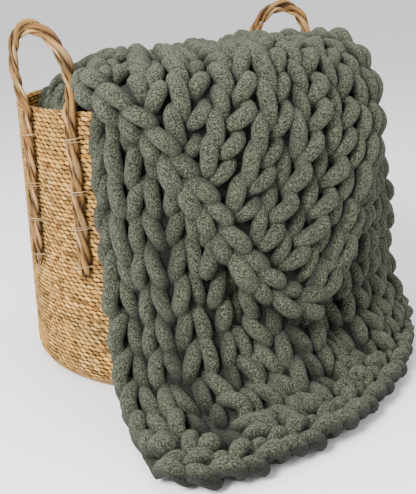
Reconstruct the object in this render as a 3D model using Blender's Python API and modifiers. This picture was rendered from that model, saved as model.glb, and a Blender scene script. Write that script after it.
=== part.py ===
"""Chunky knit blanket draped over a woven storage basket.

One knitted sheet hangs over the front and right of the basket's rim with its
hem on the floor, sags inside the basket, climbs the back of the wall, crosses
the top and falls forward again over its own lower layer. Metres, +Z up. The
origin is the middle of the basket's base; the front of the basket faces -Y.

A direction round the basket is a swing in degrees: 0 at the front (-Y), 90 at
the right (+X), -90 at the left. A place across the blanket is u, 0 at its left
selvedge and 1 at its right one, and a place along it is v: 0 to 1 from the hem
to the rim, 1 to 2 inside the basket, 2 to 3 over the top to the far edge.
"""

import math

import bmesh
import bpy
import numpy as np

# ---------------------------------------------------------------- sizes

BASKET_RADIUS = 0.242
BASKET_HEIGHT = 0.400
BASKET_WALL = 0.010
BASKET_BASE_ROUND = 0.026
BASKET_SIDES = 64

ROPE_RADIUS = 0.0085
ROPE_LOBE = 0.25
ROPE_TURN = 0.150
ROPE_SIDES = 8
SEAT_GAP = 0.0003
HANDLE_SWINGS = {"handle_front_left": -46.0, "handle_back_right": 134.0}
HANDLE_LOOP_HEIGHT = 0.1126
HANDLE_LOOP_LEAN = 0.013
HANDLE_HALF_WIDTH_RIM = 0.0490
HANDLE_HALF_WIDTH_FOOT = 0.0550
HANDLE_HALF_WIDTH_LOOP = 0.0600
HANDLE_FOOT_HEIGHT = 0.172
# The loop is widest this far above the rim.
HANDLE_WIDEST = 0.042

WALES = 15
COURSES_LOWER = 11
COURSES_UPPER = 18
ROWS_INSIDE = 11
ROWS_PER_COURSE = 2
COLUMNS_PER_WALE = 3
CLOTH_THICKNESS = 0.018
STITCH_HEIGHT = 0.006
WALE_PITCH = 0.040
# Where a bend is tight the cloth is squeezed to this share of the bend's radius.
ROOM_SHARE = 0.55
THINNEST_SIDE = 0.003
LOOSE_BEND_RADIUS = 0.100
# The stitches of the folded-back layer begin above these heights, or past these distances from the axis.
HEAP_CLEARS_RIM = (0.385, 0.425)
FLAP_CLEARS_WALL = (0.245, 0.265)
LEG_END = -0.15
# The underside settles on the floor by this much where the cloth's middle is below these heights.
FLOOR_SETTLE = 0.010
ON_FLOOR = (0.045, 0.018)
UPPER_SHORTEST = 0.50
# Part of v in which the cloth bends over the rim, and keeps all its rows on both sides.
RIM_BEND = (0.75, 2.05)

# The blanket crosses the rim between these swings.
LEFT_SELVEDGE_SWING = -24.0
RIGHT_SELVEDGE_SWING = 112.0
INSIDE_RADIUS = 0.2221

# Rows of the cloth that sags inside the basket. forward is 1 at the wall it
# enters by and -1 at the far wall; a row spans half_swing each side of its
# main swing, which turns as the cloth crosses. right_rise lifts the right end.
# forward, height, main_swing, half_swing, right_rise
SAG_ROWS = [
    (0.90, 0.392, 44.0, 66.0, 0.000),
    (0.93, 0.300, 43.0, 65.0, 0.000),
    (0.55, 0.205, 38.0, 62.0, 0.000),
    (0.00, 0.170, 32.0, 58.0, 0.000),
    (-0.60, 0.205, 26.0, 54.0, 0.000),
    (-0.955, 0.300, 21.0, 51.0, 0.010),
    (-0.935, 0.368, 20.0, 50.0, 0.044),
]

# The sag's two edges climb the wall by this much.
SAG_EDGE_RISE = 0.070

# Pleats of the lower layer. Depths are inward, in metres, one for each of
# WALL_ROWS; a negative depth is an outward ridge. gather is the share of width
# that the pleat hides.
# centre, half_width, heel, low, middle, high, under the rim, on the rim, gather
PLEATS = [
    (0.130, 0.060, -0.012, -0.012, -0.008, -0.002, 0.0, 0.0, 0.00),
    (0.270, 0.070, 0.016, 0.016, 0.011, 0.003, 0.0, 0.0, 0.40),
    (0.375, 0.060, -0.010, -0.012, -0.010, -0.003, 0.0, 0.0, 0.00),
    (0.480, 0.070, 0.015, 0.018, 0.016, 0.005, 0.0, 0.0, 0.40),
    (0.585, 0.060, -0.006, -0.008, -0.006, -0.002, 0.0, 0.0, 0.00),
]

# Outline of the hem on the floor: u, swing, distance from the basket's axis.
HEM_OUTLINE = [
    (0.0, -6.0, 0.480), (0.08, 2.0, 0.498), (0.20, 14.5, 0.460), (0.30, 25.6, 0.430),
    (0.42, 39.0, 0.394), (0.55, 54.0, 0.366), (0.75, 79.0, 0.342), (1.0, 112.0, 0.338),
]
HEM_HEIGHT = 0.0160
# The row between the hem and the heel: its share of the way to the hem's swing, and its height.
FLOOR_ROW = (0.62, 0.0165)

# Rows of the lower layer from its heel on the floor to the top of the rim.
# Towards the right selvedge the cloth stands away: right_out and right_rise are
# added there. left_in is taken off the radius at the left selvedge. turn is the
# share of the way from the swing at the rim to the swing of the heel.
# turn, radius, right_out, left_in, height, right_rise
WALL_ROWS = [
    (1.00, 0.3290, 0.000, 0.000, 0.042, 0.020),
    (0.30, 0.2790, 0.030, 0.010, 0.125, 0.000),
    (0.00, 0.2715, 0.036, 0.004, 0.235, 0.000),
    (0.00, 0.2680, 0.022, 0.000, 0.335, 0.000),
    (0.00, 0.2650, 0.010, 0.000, 0.382, 0.006),
    (0.00, 0.2390, 0.005, 0.000, 0.416, 0.008),
]
# Share of the way from the rim's swing to the hem's swing that the heel has, and its fall to the right.
HEEL_TURN = (0.42, 0.27)

# Height of the heap over the basket's mouth: u, height.
HEAP_HEIGHT = [
    (0.0, 0.402), (0.208, 0.414), (0.350, 0.436), (0.449, 0.448),
    (0.544, 0.444), (0.646, 0.454), (0.795, 0.462), (1.0, 0.454),
]
# Rows over the mouth: share of the way from the back wall to the front, height over the heap.
OVER_ROWS = [(0.16, -0.017), (0.42, -0.010), (0.75, 0.0)]
# Rows down the front: share of the fall, distance out from the fall's radius at the left and at the right.
FALL_ROWS = [(0.22, 0.002, 0.002), (0.60, 0.000, 0.009), (1.00, -0.002, 0.009)]

# Far edge of the blanket, which slants down across the front: u, swing, height.
FAR_EDGE = [
    (0.0, -74.0, 0.345), (0.230, -54.0, 0.368), (0.383, -36.0, 0.408), (0.460, -24.0, 0.440),
    (0.517, -14.0, 0.420), (0.578, -7.0, 0.383), (0.650, 0.5, 0.319), (0.712, 5.0, 0.279),
    (0.784, 9.8, 0.228), (0.866, 15.8, 0.182), (0.949, 24.0, 0.146), (1.0, 31.0, 0.135),
]
FALL_START_U = 0.46
SHOULDER_SPAN = 86.0
TUCKED_SPAN = 50.0
# The cloth steps out over the rim in this part of u.
STEPS_OUT = (0.420, 0.510)
# Radius of the shoulder over the rim, and of the fall in front of the wall: tucked, stepped out, right edge.
SHOULDER_RADIUS = (0.200, 0.050, -0.002)
FALL_RADIUS = (0.200, 0.103, 0.006)
SHOULDER_STEP = 0.024
SHOULDER_DROP = 0.004
FALL_TOP_DROP = 0.012
FALL_BEND = 1.25


# ---------------------------------------------------------------- helpers

def around(swing, radius, height):
    """Points at a swing, a distance from the axis and a height."""
    angle = np.radians(swing)
    return np.stack(np.broadcast_arrays(radius * np.sin(angle), -radius * np.cos(angle), height), -1)


def ramp(value, start, end):
    """0 before start, 1 after end, and smooth between."""
    t = np.clip((value - start) / (end - start), 0.0, 1.0)
    return t * t * (3.0 - 2.0 * t)


def bump(value, centre, half_width):
    """1 at the centre, falling smoothly to 0 at half_width."""
    distance = np.clip(np.abs(value - centre) / half_width, 0.0, 1.0)
    return np.cos(distance * math.pi / 2.0) ** 2


def through(value, table, column=1):
    """Smooth curve through one column of a table whose first column is u."""
    xs = np.array([row[0] for row in table])
    ys = np.array([row[column] for row in table])
    slope = np.gradient(ys, xs)
    i = np.clip(np.searchsorted(xs, value, side="right") - 1, 0, len(xs) - 2)
    step = xs[i + 1] - xs[i]
    t = (value - xs[i]) / step
    return (
        (1 + 2 * t) * (1 - t) ** 2 * ys[i]
        + t * (1 - t) ** 2 * step * slope[i]
        + t * t * (3 - 2 * t) * ys[i + 1]
        + t * t * (t - 1) * step * slope[i + 1]
    )


def material(name, colour, roughness):
    mat = bpy.data.materials.new(name)
    mat.use_nodes = True
    shader = mat.node_tree.nodes["Principled BSDF"]
    shader.inputs["Base Color"].default_value = (*colour, 1.0)
    shader.inputs["Roughness"].default_value = roughness
    shader.inputs["Metallic"].default_value = 0.0
    mat.diffuse_color = (*colour, 1.0)
    return mat


def collection(name):
    made = bpy.data.collections.new(name)
    bpy.context.scene.collection.children.link(made)
    return made


def mesh_object(name, shape, mat, home):
    """An object from a bmesh, shaded smooth with sharp edges kept."""
    mesh = bpy.data.meshes.new(name)
    shape.to_mesh(mesh)
    shape.free()
    mesh.shade_smooth()
    mesh.set_sharp_from_angle(angle=math.radians(50))
    mesh.materials.append(mat)
    obj = bpy.data.objects.new(name, mesh)
    home.objects.link(obj)
    return obj


# ---------------------------------------------------------------- basket

def basket(mat, home):
    """Wall and base woven in one, as a turned profile with a round base corner."""
    outer, height, wall = BASKET_RADIUS, BASKET_HEIGHT, BASKET_WALL
    rim = wall / 2.0
    inner_round = BASKET_BASE_ROUND - wall

    def arc(centre_x, centre_z, radius, start, end, count):
        angles = np.radians(np.linspace(start, end, count))
        return [(centre_x + radius * math.cos(a), centre_z + radius * math.sin(a)) for a in angles]

    profile = [(0.0, wall)]
    profile += arc(outer - BASKET_BASE_ROUND, BASKET_BASE_ROUND, inner_round, -90, 0, 4)
    profile += arc(outer - rim, height - rim, rim, 180, 0, 5)
    profile += arc(outer - BASKET_BASE_ROUND, BASKET_BASE_ROUND, BASKET_BASE_ROUND, 0, -90, 5)
    profile += [(0.0, 0.0)]

    shape = bmesh.new()
    verts = [shape.verts.new((x, 0.0, z)) for x, z in profile]
    for first, second in zip(verts, verts[1:]):
        shape.edges.new((first, second))
    obj = mesh_object("basket_body", shape, mat, home)
    screw = obj.modifiers.new("Turn", "SCREW")
    screw.axis = "Z"
    screw.steps = BASKET_SIDES
    screw.render_steps = BASKET_SIDES
    screw.use_merge_vertices = True
    screw.merge_threshold = 0.00005
    screw.use_smooth_shade = True
    return obj


def handle_path():
    """Half width and height of one handle's rope, from one foot over the loop to the other."""
    leg = [
        (HANDLE_HALF_WIDTH_FOOT + (HANDLE_HALF_WIDTH_RIM - HANDLE_HALF_WIDTH_FOOT) * t,
         HANDLE_FOOT_HEIGHT + (BASKET_HEIGHT - HANDLE_FOOT_HEIGHT) * t)
        for t in np.linspace(0.0, 1.0, 18)
    ]
    side = [
        (HANDLE_HALF_WIDTH_RIM + (HANDLE_HALF_WIDTH_LOOP - HANDLE_HALF_WIDTH_RIM) * math.sin(t * math.pi / 2),
         BASKET_HEIGHT + HANDLE_WIDEST * t)
        for t in np.linspace(0.0, 1.0, 4)[1:]
    ]
    crown = [
        (HANDLE_HALF_WIDTH_LOOP * math.cos(t * math.pi / 2),
         BASKET_HEIGHT + HANDLE_WIDEST + (HANDLE_LOOP_HEIGHT - HANDLE_WIDEST) * math.sin(t * math.pi / 2))
        for t in np.linspace(0.0, 1.0, 9)[1:]
    ]
    half = leg + side + crown
    return half + [(-width, height) for width, height in reversed(half[:-1])]


def rope_section(home):
    """Cross-section of a rope laid from two strands."""
    curve = bpy.data.curves.new("rope_section", "CURVE")
    curve.dimensions = "2D"
    spline = curve.splines.new("POLY")
    spline.points.add(ROPE_SIDES - 1)
    for i, point in enumerate(spline.points):
        angle = -2 * math.pi * i / ROPE_SIDES
        reach = ROPE_RADIUS * (1 + ROPE_LOBE * math.cos(2 * angle))
        point.co = (reach * math.cos(angle), reach * math.sin(angle), 0.0, 1.0)
    spline.use_cyclic_u = True
    guide = bpy.data.objects.new("rope_section", curve)
    guide.hide_render = True
    guide.display_type = "WIRE"
    home.objects.link(guide)
    return guide


def handle(name, swing, section, mat, home):
    """Rope loop: both legs lie up the outside of the wall, and the loop stands over the rim."""
    seat = BASKET_RADIUS + ROPE_RADIUS * (1 + ROPE_LOBE) + SEAT_GAP
    curve = bpy.data.curves.new(name, "CURVE")
    curve.dimensions = "3D"
    curve.twist_mode = "MINIMUM"
    path = handle_path()
    spline = curve.splines.new("POLY")
    spline.points.add(len(path) - 1)
    travelled = 0.0
    last = None
    for point, (width, height) in zip(spline.points, path):
        lean = max(0.0, height - BASKET_HEIGHT) / HANDLE_LOOP_HEIGHT
        radius = seat + HANDLE_LOOP_LEAN * lean
        place = around(swing + math.degrees(math.asin(width / seat)), radius, height)
        if last is not None:
            travelled += float(np.linalg.norm(place - last))
        last = place
        point.co = (*place, 1.0)
        point.tilt = 2 * math.pi * travelled / ROPE_TURN
    curve.bevel_mode = "OBJECT"
    curve.bevel_object = section
    curve.use_fill_caps = True
    curve.materials.append(mat)
    obj = bpy.data.objects.new(name, curve)
    home.objects.link(obj)
    return obj


# ---------------------------------------------------------------- blanket: where each wale runs

def share_round(u):
    """Share of the way round the wall at u: a pleat takes up cloth without going round."""
    grid = np.linspace(0.0, 1.0, 801)
    rate = np.ones_like(grid)
    for centre, half_width, *_, gather in PLEATS:
        rate -= gather * bump(grid, centre, half_width)
    total = np.concatenate([[0.0], np.cumsum((rate[1:] + rate[:-1]) / 2)])
    return np.interp(u, grid, total / total[-1])


def pleat_depth(u, column):
    return sum(row[column] * bump(u, row[0], row[1]) for row in PLEATS)


def across_inside(u, forward, height, main_swing, half_swing, right_rise):
    """Row of the sag across the inside of the basket."""
    angle = np.radians((2 * u - 1) * half_swing)
    main = math.radians(main_swing)
    along = forward * INSIDE_RADIUS * np.cos(angle)
    side = INSIDE_RADIUS * np.sin(angle)
    x = along * math.sin(main) + side * math.cos(main)
    y = -along * math.cos(main) + side * math.sin(main)
    climb = SAG_EDGE_RISE * (1 - forward**2) * (2 * u - 1) ** 4
    return np.stack([x, y, height + right_rise * u + climb], -1)


def lower_layer(u):
    """Rows of the layer on the floor and the wall, from the hem to the top of the rim."""
    swing = LEFT_SELVEDGE_SWING + (RIGHT_SELVEDGE_SWING - LEFT_SELVEDGE_SWING) * share_round(u)
    away = ramp(u, 0.25, 0.85)
    at_left = ramp(1 - u, 0.85, 1.0)
    hem_swing = through(u, HEM_OUTLINE, 1)
    hem_radius = through(u, HEM_OUTLINE, 2)
    heel_swing = swing + (hem_swing - swing) * (HEEL_TURN[0] - HEEL_TURN[1] * away)
    wall = []
    for k, (turn, radius, right_out, left_in, height, right_rise) in enumerate(WALL_ROWS):
        reach = radius + right_out * away - left_in * at_left - pleat_depth(u, 2 + k)
        wall.append(around(swing + (heel_swing - swing) * turn, reach, height + right_rise * away))
    toward_hem, floor_height = FLOOR_ROW
    floor_swing = heel_swing + (hem_swing - heel_swing) * toward_hem
    heel_radius = WALL_ROWS[0][1] + WALL_ROWS[0][2] * away
    floor = around(floor_swing, (heel_radius + hem_radius) / 2, floor_height)
    return [around(hem_swing, hem_radius, HEM_HEIGHT), floor] + wall


def upper_layer(u):
    """Rows over the basket's mouth and down the front to the far edge."""
    over_rim = ramp(u, *STEPS_OUT)
    beyond = np.clip((u - FALL_START_U) / (1 - FALL_START_U), 0.0, 1.0)
    tucked = np.clip((FALL_START_U - u) / FALL_START_U, 0.0, 1.0)
    swing = LEFT_SELVEDGE_SWING + SHOULDER_SPAN * beyond - TUCKED_SPAN * tucked
    radius, fall_radius = (
        start + step * over_rim + right * beyond for start, step, right in (SHOULDER_RADIUS, FALL_RADIUS)
    )
    heap = through(u, HEAP_HEIGHT)
    back = across_inside(u, *SAG_ROWS[-1])
    front = around(swing, radius, 0.0)
    edge_swing = through(u, FAR_EDGE, 1)
    edge_height = through(u, FAR_EDGE, 2)
    shoulder_height = heap - SHOULDER_DROP

    def over(share, height):
        row = back * (1 - share) + front * share
        row[..., 2] = height
        return row

    def fall(share, reach):
        height = (shoulder_height - FALL_TOP_DROP) * (1 - share) + edge_height * share
        return around(swing + (edge_swing - swing) * share**FALL_BEND, reach, height)

    rows = [over(share, heap + rise) for share, rise in OVER_ROWS]
    rows.append(around(swing, radius + SHOULDER_STEP * over_rim, shoulder_height))
    for share, left_out, right_out in FALL_ROWS:
        rows.append(fall(share, fall_radius + left_out + (right_out - left_out) * beyond))
    return rows


SAMPLES = 24


def wale_paths(u):
    """Smooth path of each wale through all rows, its running length, and the length at the rim."""
    lower = lower_layer(u)
    inside = [across_inside(u, *row) for row in SAG_ROWS]
    rows = np.stack(lower + inside + upper_layer(u), -2)
    first = 2 * rows[:, :1] - rows[:, 1:2]
    last = 2 * rows[:, -1:] - rows[:, -2:-1]
    padded = np.concatenate([first, rows, last], 1)
    chord = np.linalg.norm(np.diff(padded, axis=1), axis=-1)[..., None, None] ** 0.5 + 1e-6
    t = np.linspace(0.0, 1.0, SAMPLES, endpoint=False)[:, None]
    parts = []
    for k in range(1, rows.shape[1]):
        a, b, c, d = (padded[:, k + step][:, None] for step in (-1, 0, 1, 2))
        before, here, after = (chord[:, k + step] for step in (-1, 0, 1))
        start = ((b - a) / before - (c - a) / (before + here) + (c - b) / here) * here
        end = ((c - b) / here - (d - b) / (here + after) + (d - c) / after) * here
        parts.append(
            (2 * t**3 - 3 * t**2 + 1) * b + (t**3 - 2 * t**2 + t) * start
            + (3 * t**2 - 2 * t**3) * c + (t**3 - t**2) * end
        )
    path = np.concatenate(parts + [rows[:, -1:]], 1)
    run = np.concatenate(
        [np.zeros((len(u), 1)), np.cumsum(np.linalg.norm(np.diff(path, axis=1), axis=-1), 1)], 1
    )
    at_rim = (len(lower) - 1) * SAMPLES
    at_back = at_rim + len(inside) * SAMPLES
    return path, run, run[:, at_rim], run[:, at_back]


def blanket_points(u, v):
    """Middle of the cloth at every u and v, and its normal on the side that faces out on the wall."""
    path, run, at_rim, at_back = wale_paths(u)
    points = np.zeros((len(u), len(v), 3))
    for i in range(len(u)):
        upper = max(run[i, -1] - at_back[i], UPPER_SHORTEST)
        stops = [0.0, at_rim[i], run[i, -1] - upper, run[i, -1]]
        places = np.interp(v, [0.0, 1.0, 2.0, 3.0], stops)
        for axis in range(3):
            points[i, :, axis] = np.interp(places, run[i], path[i, :, axis])
    normal = np.cross(np.gradient(points, axis=0), np.gradient(points, axis=1))
    normal /= np.linalg.norm(normal, axis=-1, keepdims=True) + 1e-12
    return points, normal


# ---------------------------------------------------------------- blanket: the knitted solid

def row_stations():
    """v of every row: two rows to a course where the cloth shows, fewer in the sag, close at the rim."""
    lower = np.linspace(0.0, 1.0, COURSES_LOWER * ROWS_PER_COURSE + 1)
    share = np.linspace(0.0, 1.0, ROWS_INSIDE + 1)[1:]
    inside = 1.0 + (share + 0.5 - 0.5 * np.cos(math.pi * share)) / 2
    upper = np.linspace(2.0, 3.0, COURSES_UPPER * ROWS_PER_COURSE + 1)[1:]
    return np.concatenate([lower, inside, upper])


def stitch_relief(columns, rows):
    """Height of the knit: the two legs of each wale swell in turn, and wales part in a groove."""
    column = np.arange(columns)[:, None] % COLUMNS_PER_WALE
    row = np.arange(rows)[None, :] % ROWS_PER_COURSE
    swell = np.where((column == 1) == (row == 0), 1.0, LEG_END)
    return STITCH_HEIGHT * np.where(column == 0, -1.0, swell)


def curvature(middle, normal):
    """How the cloth bends across its wales and along them, positive towards its normal, in 1/m."""
    bends = []
    for axis in (0, 1):
        step = (np.gradient(middle, axis=axis) ** 2).sum(-1)
        line = np.moveaxis(middle, axis, 0)
        turn = np.zeros_like(line)
        turn[1:-1] = line[2:] - 2 * line[1:-1] + line[:-2]
        bends.append((np.moveaxis(turn, 0, axis) * normal).sum(-1) / step)
    return bends


def bridge(shape, first, second):
    """Faces between two lines of (place, vert) that start and end together."""
    i = j = 0
    while i < len(first) - 1 or j < len(second) - 1:
        step_first = i < len(first) - 1
        step_second = j < len(second) - 1
        if step_first and step_second:
            ahead_first, ahead_second = first[i + 1][0], second[j + 1][0]
            even = abs(ahead_first - ahead_second) < 1e-9
            step_first = even or ahead_first < ahead_second
            step_second = even or ahead_second < ahead_first
        corners = [first[i][1]]
        if step_first:
            i += 1
            corners.append(first[i][1])
        corners.append(second[j + 1][1] if step_second else second[j][1])
        if step_second:
            corners.append(second[j][1])
            j += 1
        shape.faces.new(corners)


def knitted_side(shape, surface, u, v, fine, tight):
    """One side of the sheet as rows of (place, vert). Rows that aren't fine keep one column to a wale,
    and more where the cloth bends tightly."""
    rows = []
    for j in range(len(v)):
        bends = RIM_BEND[0] < v[j] < RIM_BEND[1]
        if not fine[j] and not bends and j % ROWS_PER_COURSE and 0 < j < len(v) - 1:
            continue
        kept = [i for i in range(len(u)) if fine[j] or tight[i, j] or i % COLUMNS_PER_WALE == 0]
        rows.append((v[j], [(u[i], shape.verts.new(surface[i, j])) for i in kept]))
    for (_, line), (_, following) in zip(rows, rows[1:]):
        bridge(shape, line, following)
    return rows


def blanket(mat, home):
    """One closed sheet. Stitches are raised on the side that shows: the outer one on the wall, the
    other one on the layer that is folded back over it."""
    u = np.linspace(0.0, 1.0, WALES * COLUMNS_PER_WALE + 1)
    v = row_stations()
    middle, normal = blanket_points(u, v)
    spacing = np.linalg.norm(np.gradient(middle, axis=0), axis=-1) * COLUMNS_PER_WALE
    across, along = curvature(middle, normal)
    tight = np.abs(across) > 1 / LOOSE_BEND_RADIUS
    valley = sum(row[-1] * bump(u, row[0], row[1]) for row in PLEATS)
    relief = stitch_relief(len(u), len(v)) * np.clip(spacing / WALE_PITCH, 0.0, 1.0) * (1 - valley)[:, None]
    on_floor = 1 - ramp(middle[..., 2], ON_FLOOR[1], ON_FLOOR[0])
    shape = bmesh.new()
    sides = []
    reach = np.hypot(middle[..., 0], middle[..., 1])
    clear_of_wall = np.maximum(ramp(middle[..., 2], *HEAP_CLEARS_RIM), ramp(reach, *FLAP_CLEARS_WALL))
    outside = np.broadcast_to(1 - ramp(v, 1.0, 1.15), clear_of_wall.shape)
    for facing, shows in ((1.0, outside), (-1.0, clear_of_wall * ramp(v, 1.9, 2.0))):
        room = ROOM_SHARE / (np.maximum(facing * across, facing * along).clip(0.0) + 1.0)
        lift = np.minimum(CLOTH_THICKNESS / 2 + relief * shows, np.maximum(room, THINNEST_SIDE))
        surface = middle + facing * normal * lift[..., None]
        if facing < 0:
            surface[..., 2] -= FLOOR_SETTLE * on_floor
        surface[..., 2] = np.maximum(surface[..., 2], 0.0)
        sides.append(knitted_side(shape, surface, u, v, shows.max(axis=0) > 0, tight))
    near, far = sides
    for end in (0, -1):
        bridge(shape, near[end][1], far[end][1])
        bridge(
            shape,
            [(place, line[end][1]) for place, line in near],
            [(place, line[end][1]) for place, line in far],
        )
    bmesh.ops.recalc_face_normals(shape, faces=shape.faces)
    bmesh.ops.triangulate(shape, faces=shape.faces)
    return mesh_object("blanket", shape, mat, home)


# ---------------------------------------------------------------- the model

def main():
    for obj in list(bpy.data.objects):
        bpy.data.objects.remove(obj, do_unlink=True)
    home = collection("blanket_over_basket")
    guides = collection("guides")
    seagrass = material("seagrass", (0.55, 0.38, 0.19), 0.75)
    rope = material("seagrass_rope", (0.47, 0.30, 0.14), 0.75)
    chenille = material("chenille", (0.115, 0.125, 0.085), 0.95)
    basket(seagrass, home)
    section = rope_section(guides)
    for name, swing in HANDLE_SWINGS.items():
        handle(name, swing, section, rope, home)
    blanket(chenille, home)


main()
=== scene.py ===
"""Looks of the chunky knit blanket over its basket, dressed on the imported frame."""

import math

import bpy
import numpy as np
from mathutils import Matrix, Vector


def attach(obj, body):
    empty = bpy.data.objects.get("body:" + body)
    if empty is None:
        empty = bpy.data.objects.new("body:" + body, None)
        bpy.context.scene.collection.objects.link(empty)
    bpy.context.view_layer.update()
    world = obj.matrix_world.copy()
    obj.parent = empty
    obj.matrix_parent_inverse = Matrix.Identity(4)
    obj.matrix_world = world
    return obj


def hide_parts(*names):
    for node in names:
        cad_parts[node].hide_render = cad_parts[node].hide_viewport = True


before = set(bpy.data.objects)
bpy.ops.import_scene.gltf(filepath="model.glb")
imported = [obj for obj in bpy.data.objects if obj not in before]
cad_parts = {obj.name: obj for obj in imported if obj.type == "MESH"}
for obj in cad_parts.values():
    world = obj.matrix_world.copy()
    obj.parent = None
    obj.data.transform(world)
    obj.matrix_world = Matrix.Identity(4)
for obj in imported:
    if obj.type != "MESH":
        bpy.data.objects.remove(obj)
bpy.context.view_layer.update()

# -------- sizes

BASKET_RADIUS = 0.242
BASKET_HEIGHT = 0.400
BASKET_WALL = 0.010
BASKET_BASE_ROUND = 0.026

ROPE_RADIUS = 0.0085
ROPE_LOBE = 0.25
SEAT_GAP = 0.0003
HANDLE_SWINGS = {"handle_front_left": -46.0, "handle_back_right": 134.0}
HANDLE_LOOP_HEIGHT = 0.1126
HANDLE_LOOP_LEAN = 0.013
HALF_WIDTH_RIM = 0.0490
HALF_WIDTH_FOOT = 0.0550
HALF_WIDTH_LOOP = 0.0600
HANDLE_FOOT_HEIGHT = 0.172
# The loop is widest this far above the rim.
HANDLE_WIDEST = 0.042

WALES = 15
COURSES_LOWER = 11
COURSES_UPPER = 18
# The cloth from v 2 to 3 is at least this long.
UPPER_SHORTEST = 0.50
# Points on a wale's path from one row to the next.
SAMPLES = 24

# The blanket crosses the rim between these swings.
LEFT_SELVEDGE_SWING = -24.0
RIGHT_SELVEDGE_SWING = 112.0
INSIDE_RADIUS = 0.2221

# Rows of the cloth that sags inside the basket. forward is 1 at the wall it
# enters by and -1 at the far wall; a row spans half_swing each side of its
# main swing, which turns as the cloth crosses. right_rise lifts the right end.
# forward, height, main_swing, half_swing, right_rise
SAG_ROWS = [
    (0.90, 0.392, 44.0, 66.0, 0.000),
    (0.93, 0.300, 43.0, 65.0, 0.000),
    (0.55, 0.205, 38.0, 62.0, 0.000),
    (0.00, 0.170, 32.0, 58.0, 0.000),
    (-0.60, 0.205, 26.0, 54.0, 0.000),
    (-0.955, 0.300, 21.0, 51.0, 0.010),
    (-0.935, 0.368, 20.0, 50.0, 0.044),
]

# The sag's two edges climb the wall by this much.
SAG_EDGE_RISE = 0.070

# Pleats of the lower layer. Depths are inward, in metres, one for each of
# WALL_ROWS; a negative depth is an outward ridge. gather is the share of width
# that the pleat hides.
# centre, half_width, heel, low, middle, high, under the rim, on the rim, gather
PLEATS = [
    (0.130, 0.060, -0.012, -0.012, -0.008, -0.002, 0.0, 0.0, 0.00),
    (0.270, 0.070, 0.016, 0.016, 0.011, 0.003, 0.0, 0.0, 0.40),
    (0.375, 0.060, -0.010, -0.012, -0.010, -0.003, 0.0, 0.0, 0.00),
    (0.480, 0.070, 0.015, 0.018, 0.016, 0.005, 0.0, 0.0, 0.40),
    (0.585, 0.060, -0.006, -0.008, -0.006, -0.002, 0.0, 0.0, 0.00),
]

# Columns of PLEATS.
LOW = 3
GATHER = -1

# Outline of the hem on the floor: u, swing, distance from the basket's axis.
HEM_OUTLINE = [
    (0.0, -6.0, 0.480), (0.08, 2.0, 0.498), (0.20, 14.5, 0.460), (0.30, 25.6, 0.430),
    (0.42, 39.0, 0.394), (0.55, 54.0, 0.366), (0.75, 79.0, 0.342), (1.0, 112.0, 0.338),
]
HEM_HEIGHT = 0.0160
# The row between the hem and the heel: its share of the way to the hem's swing, and its height.
FLOOR_ROW = (0.62, 0.0165)

# Rows of the lower layer from its heel on the floor to the top of the rim.
# Towards the right selvedge the cloth stands away: right_out and right_rise are
# added there. left_in is taken off the radius at the left selvedge. turn is the
# share of the way from the swing at the rim to the swing of the heel.
# turn, radius, right_out, left_in, height, right_rise
WALL_ROWS = [
    (1.00, 0.3290, 0.000, 0.000, 0.042, 0.020),
    (0.30, 0.2790, 0.030, 0.010, 0.125, 0.000),
    (0.00, 0.2715, 0.036, 0.004, 0.235, 0.000),
    (0.00, 0.2680, 0.022, 0.000, 0.335, 0.000),
    (0.00, 0.2650, 0.010, 0.000, 0.382, 0.006),
    (0.00, 0.2390, 0.005, 0.000, 0.416, 0.008),
]
# Share of the way from the rim's swing to the hem's swing that the heel has, and its fall to the right.
HEEL_TURN = (0.42, 0.27)

# Height of the heap over the basket's mouth: u, height.
HEAP_HEIGHT = [
    (0.0, 0.402), (0.208, 0.414), (0.350, 0.436), (0.449, 0.448),
    (0.544, 0.444), (0.646, 0.454), (0.795, 0.462), (1.0, 0.454),
]
# Rows over the mouth: share of the way from the back wall to the front, height over the heap.
OVER_ROWS = [(0.16, -0.017), (0.42, -0.010), (0.75, 0.0)]
# Rows down the front: share of the fall, distance out from the fall's radius at the left and at the right.
FALL_ROWS = [(0.22, 0.002, 0.002), (0.60, 0.000, 0.009), (1.00, -0.002, 0.009)]

# Far edge of the blanket, which slants down across the front: u, swing, height.
FAR_EDGE = [
    (0.0, -74.0, 0.345), (0.230, -54.0, 0.368), (0.383, -36.0, 0.408), (0.460, -24.0, 0.440),
    (0.517, -14.0, 0.420), (0.578, -7.0, 0.383), (0.650, 0.5, 0.319), (0.712, 5.0, 0.279),
    (0.784, 9.8, 0.228), (0.866, 15.8, 0.182), (0.949, 24.0, 0.146), (1.0, 31.0, 0.135),
]
FALL_START_U = 0.46
SHOULDER_SPAN = 86.0
TUCKED_SPAN = 50.0
# The cloth steps out over the rim in this part of u.
STEPS_OUT = (0.420, 0.510)
# Radius of the shoulder over the rim, and of the fall in front of the wall: tucked, stepped out, right edge.
SHOULDER_RADIUS = (0.200, 0.050, -0.002)
FALL_RADIUS = (0.200, 0.103, 0.006)
SHOULDER_STEP = 0.024
SHOULDER_DROP = 0.004
FALL_TOP_DROP = 0.012
FALL_BEND = 1.25


# -------- helpers

def around(swing, radius, height):
    """Points at a swing, a distance from the axis and a height."""
    angle = np.radians(swing)
    return np.stack(np.broadcast_arrays(radius * np.sin(angle), -radius * np.cos(angle), height), -1)


def ramp(value, start, end):
    """0 before start, 1 after end, and smooth between."""
    t = np.clip((value - start) / (end - start), 0.0, 1.0)
    return t * t * (3.0 - 2.0 * t)


def bump(value, centre, half_width):
    """1 at the centre, falling smoothly to 0 at half_width."""
    distance = np.clip(np.abs(value - centre) / half_width, 0.0, 1.0)
    return np.cos(distance * math.pi / 2.0) ** 2


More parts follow.
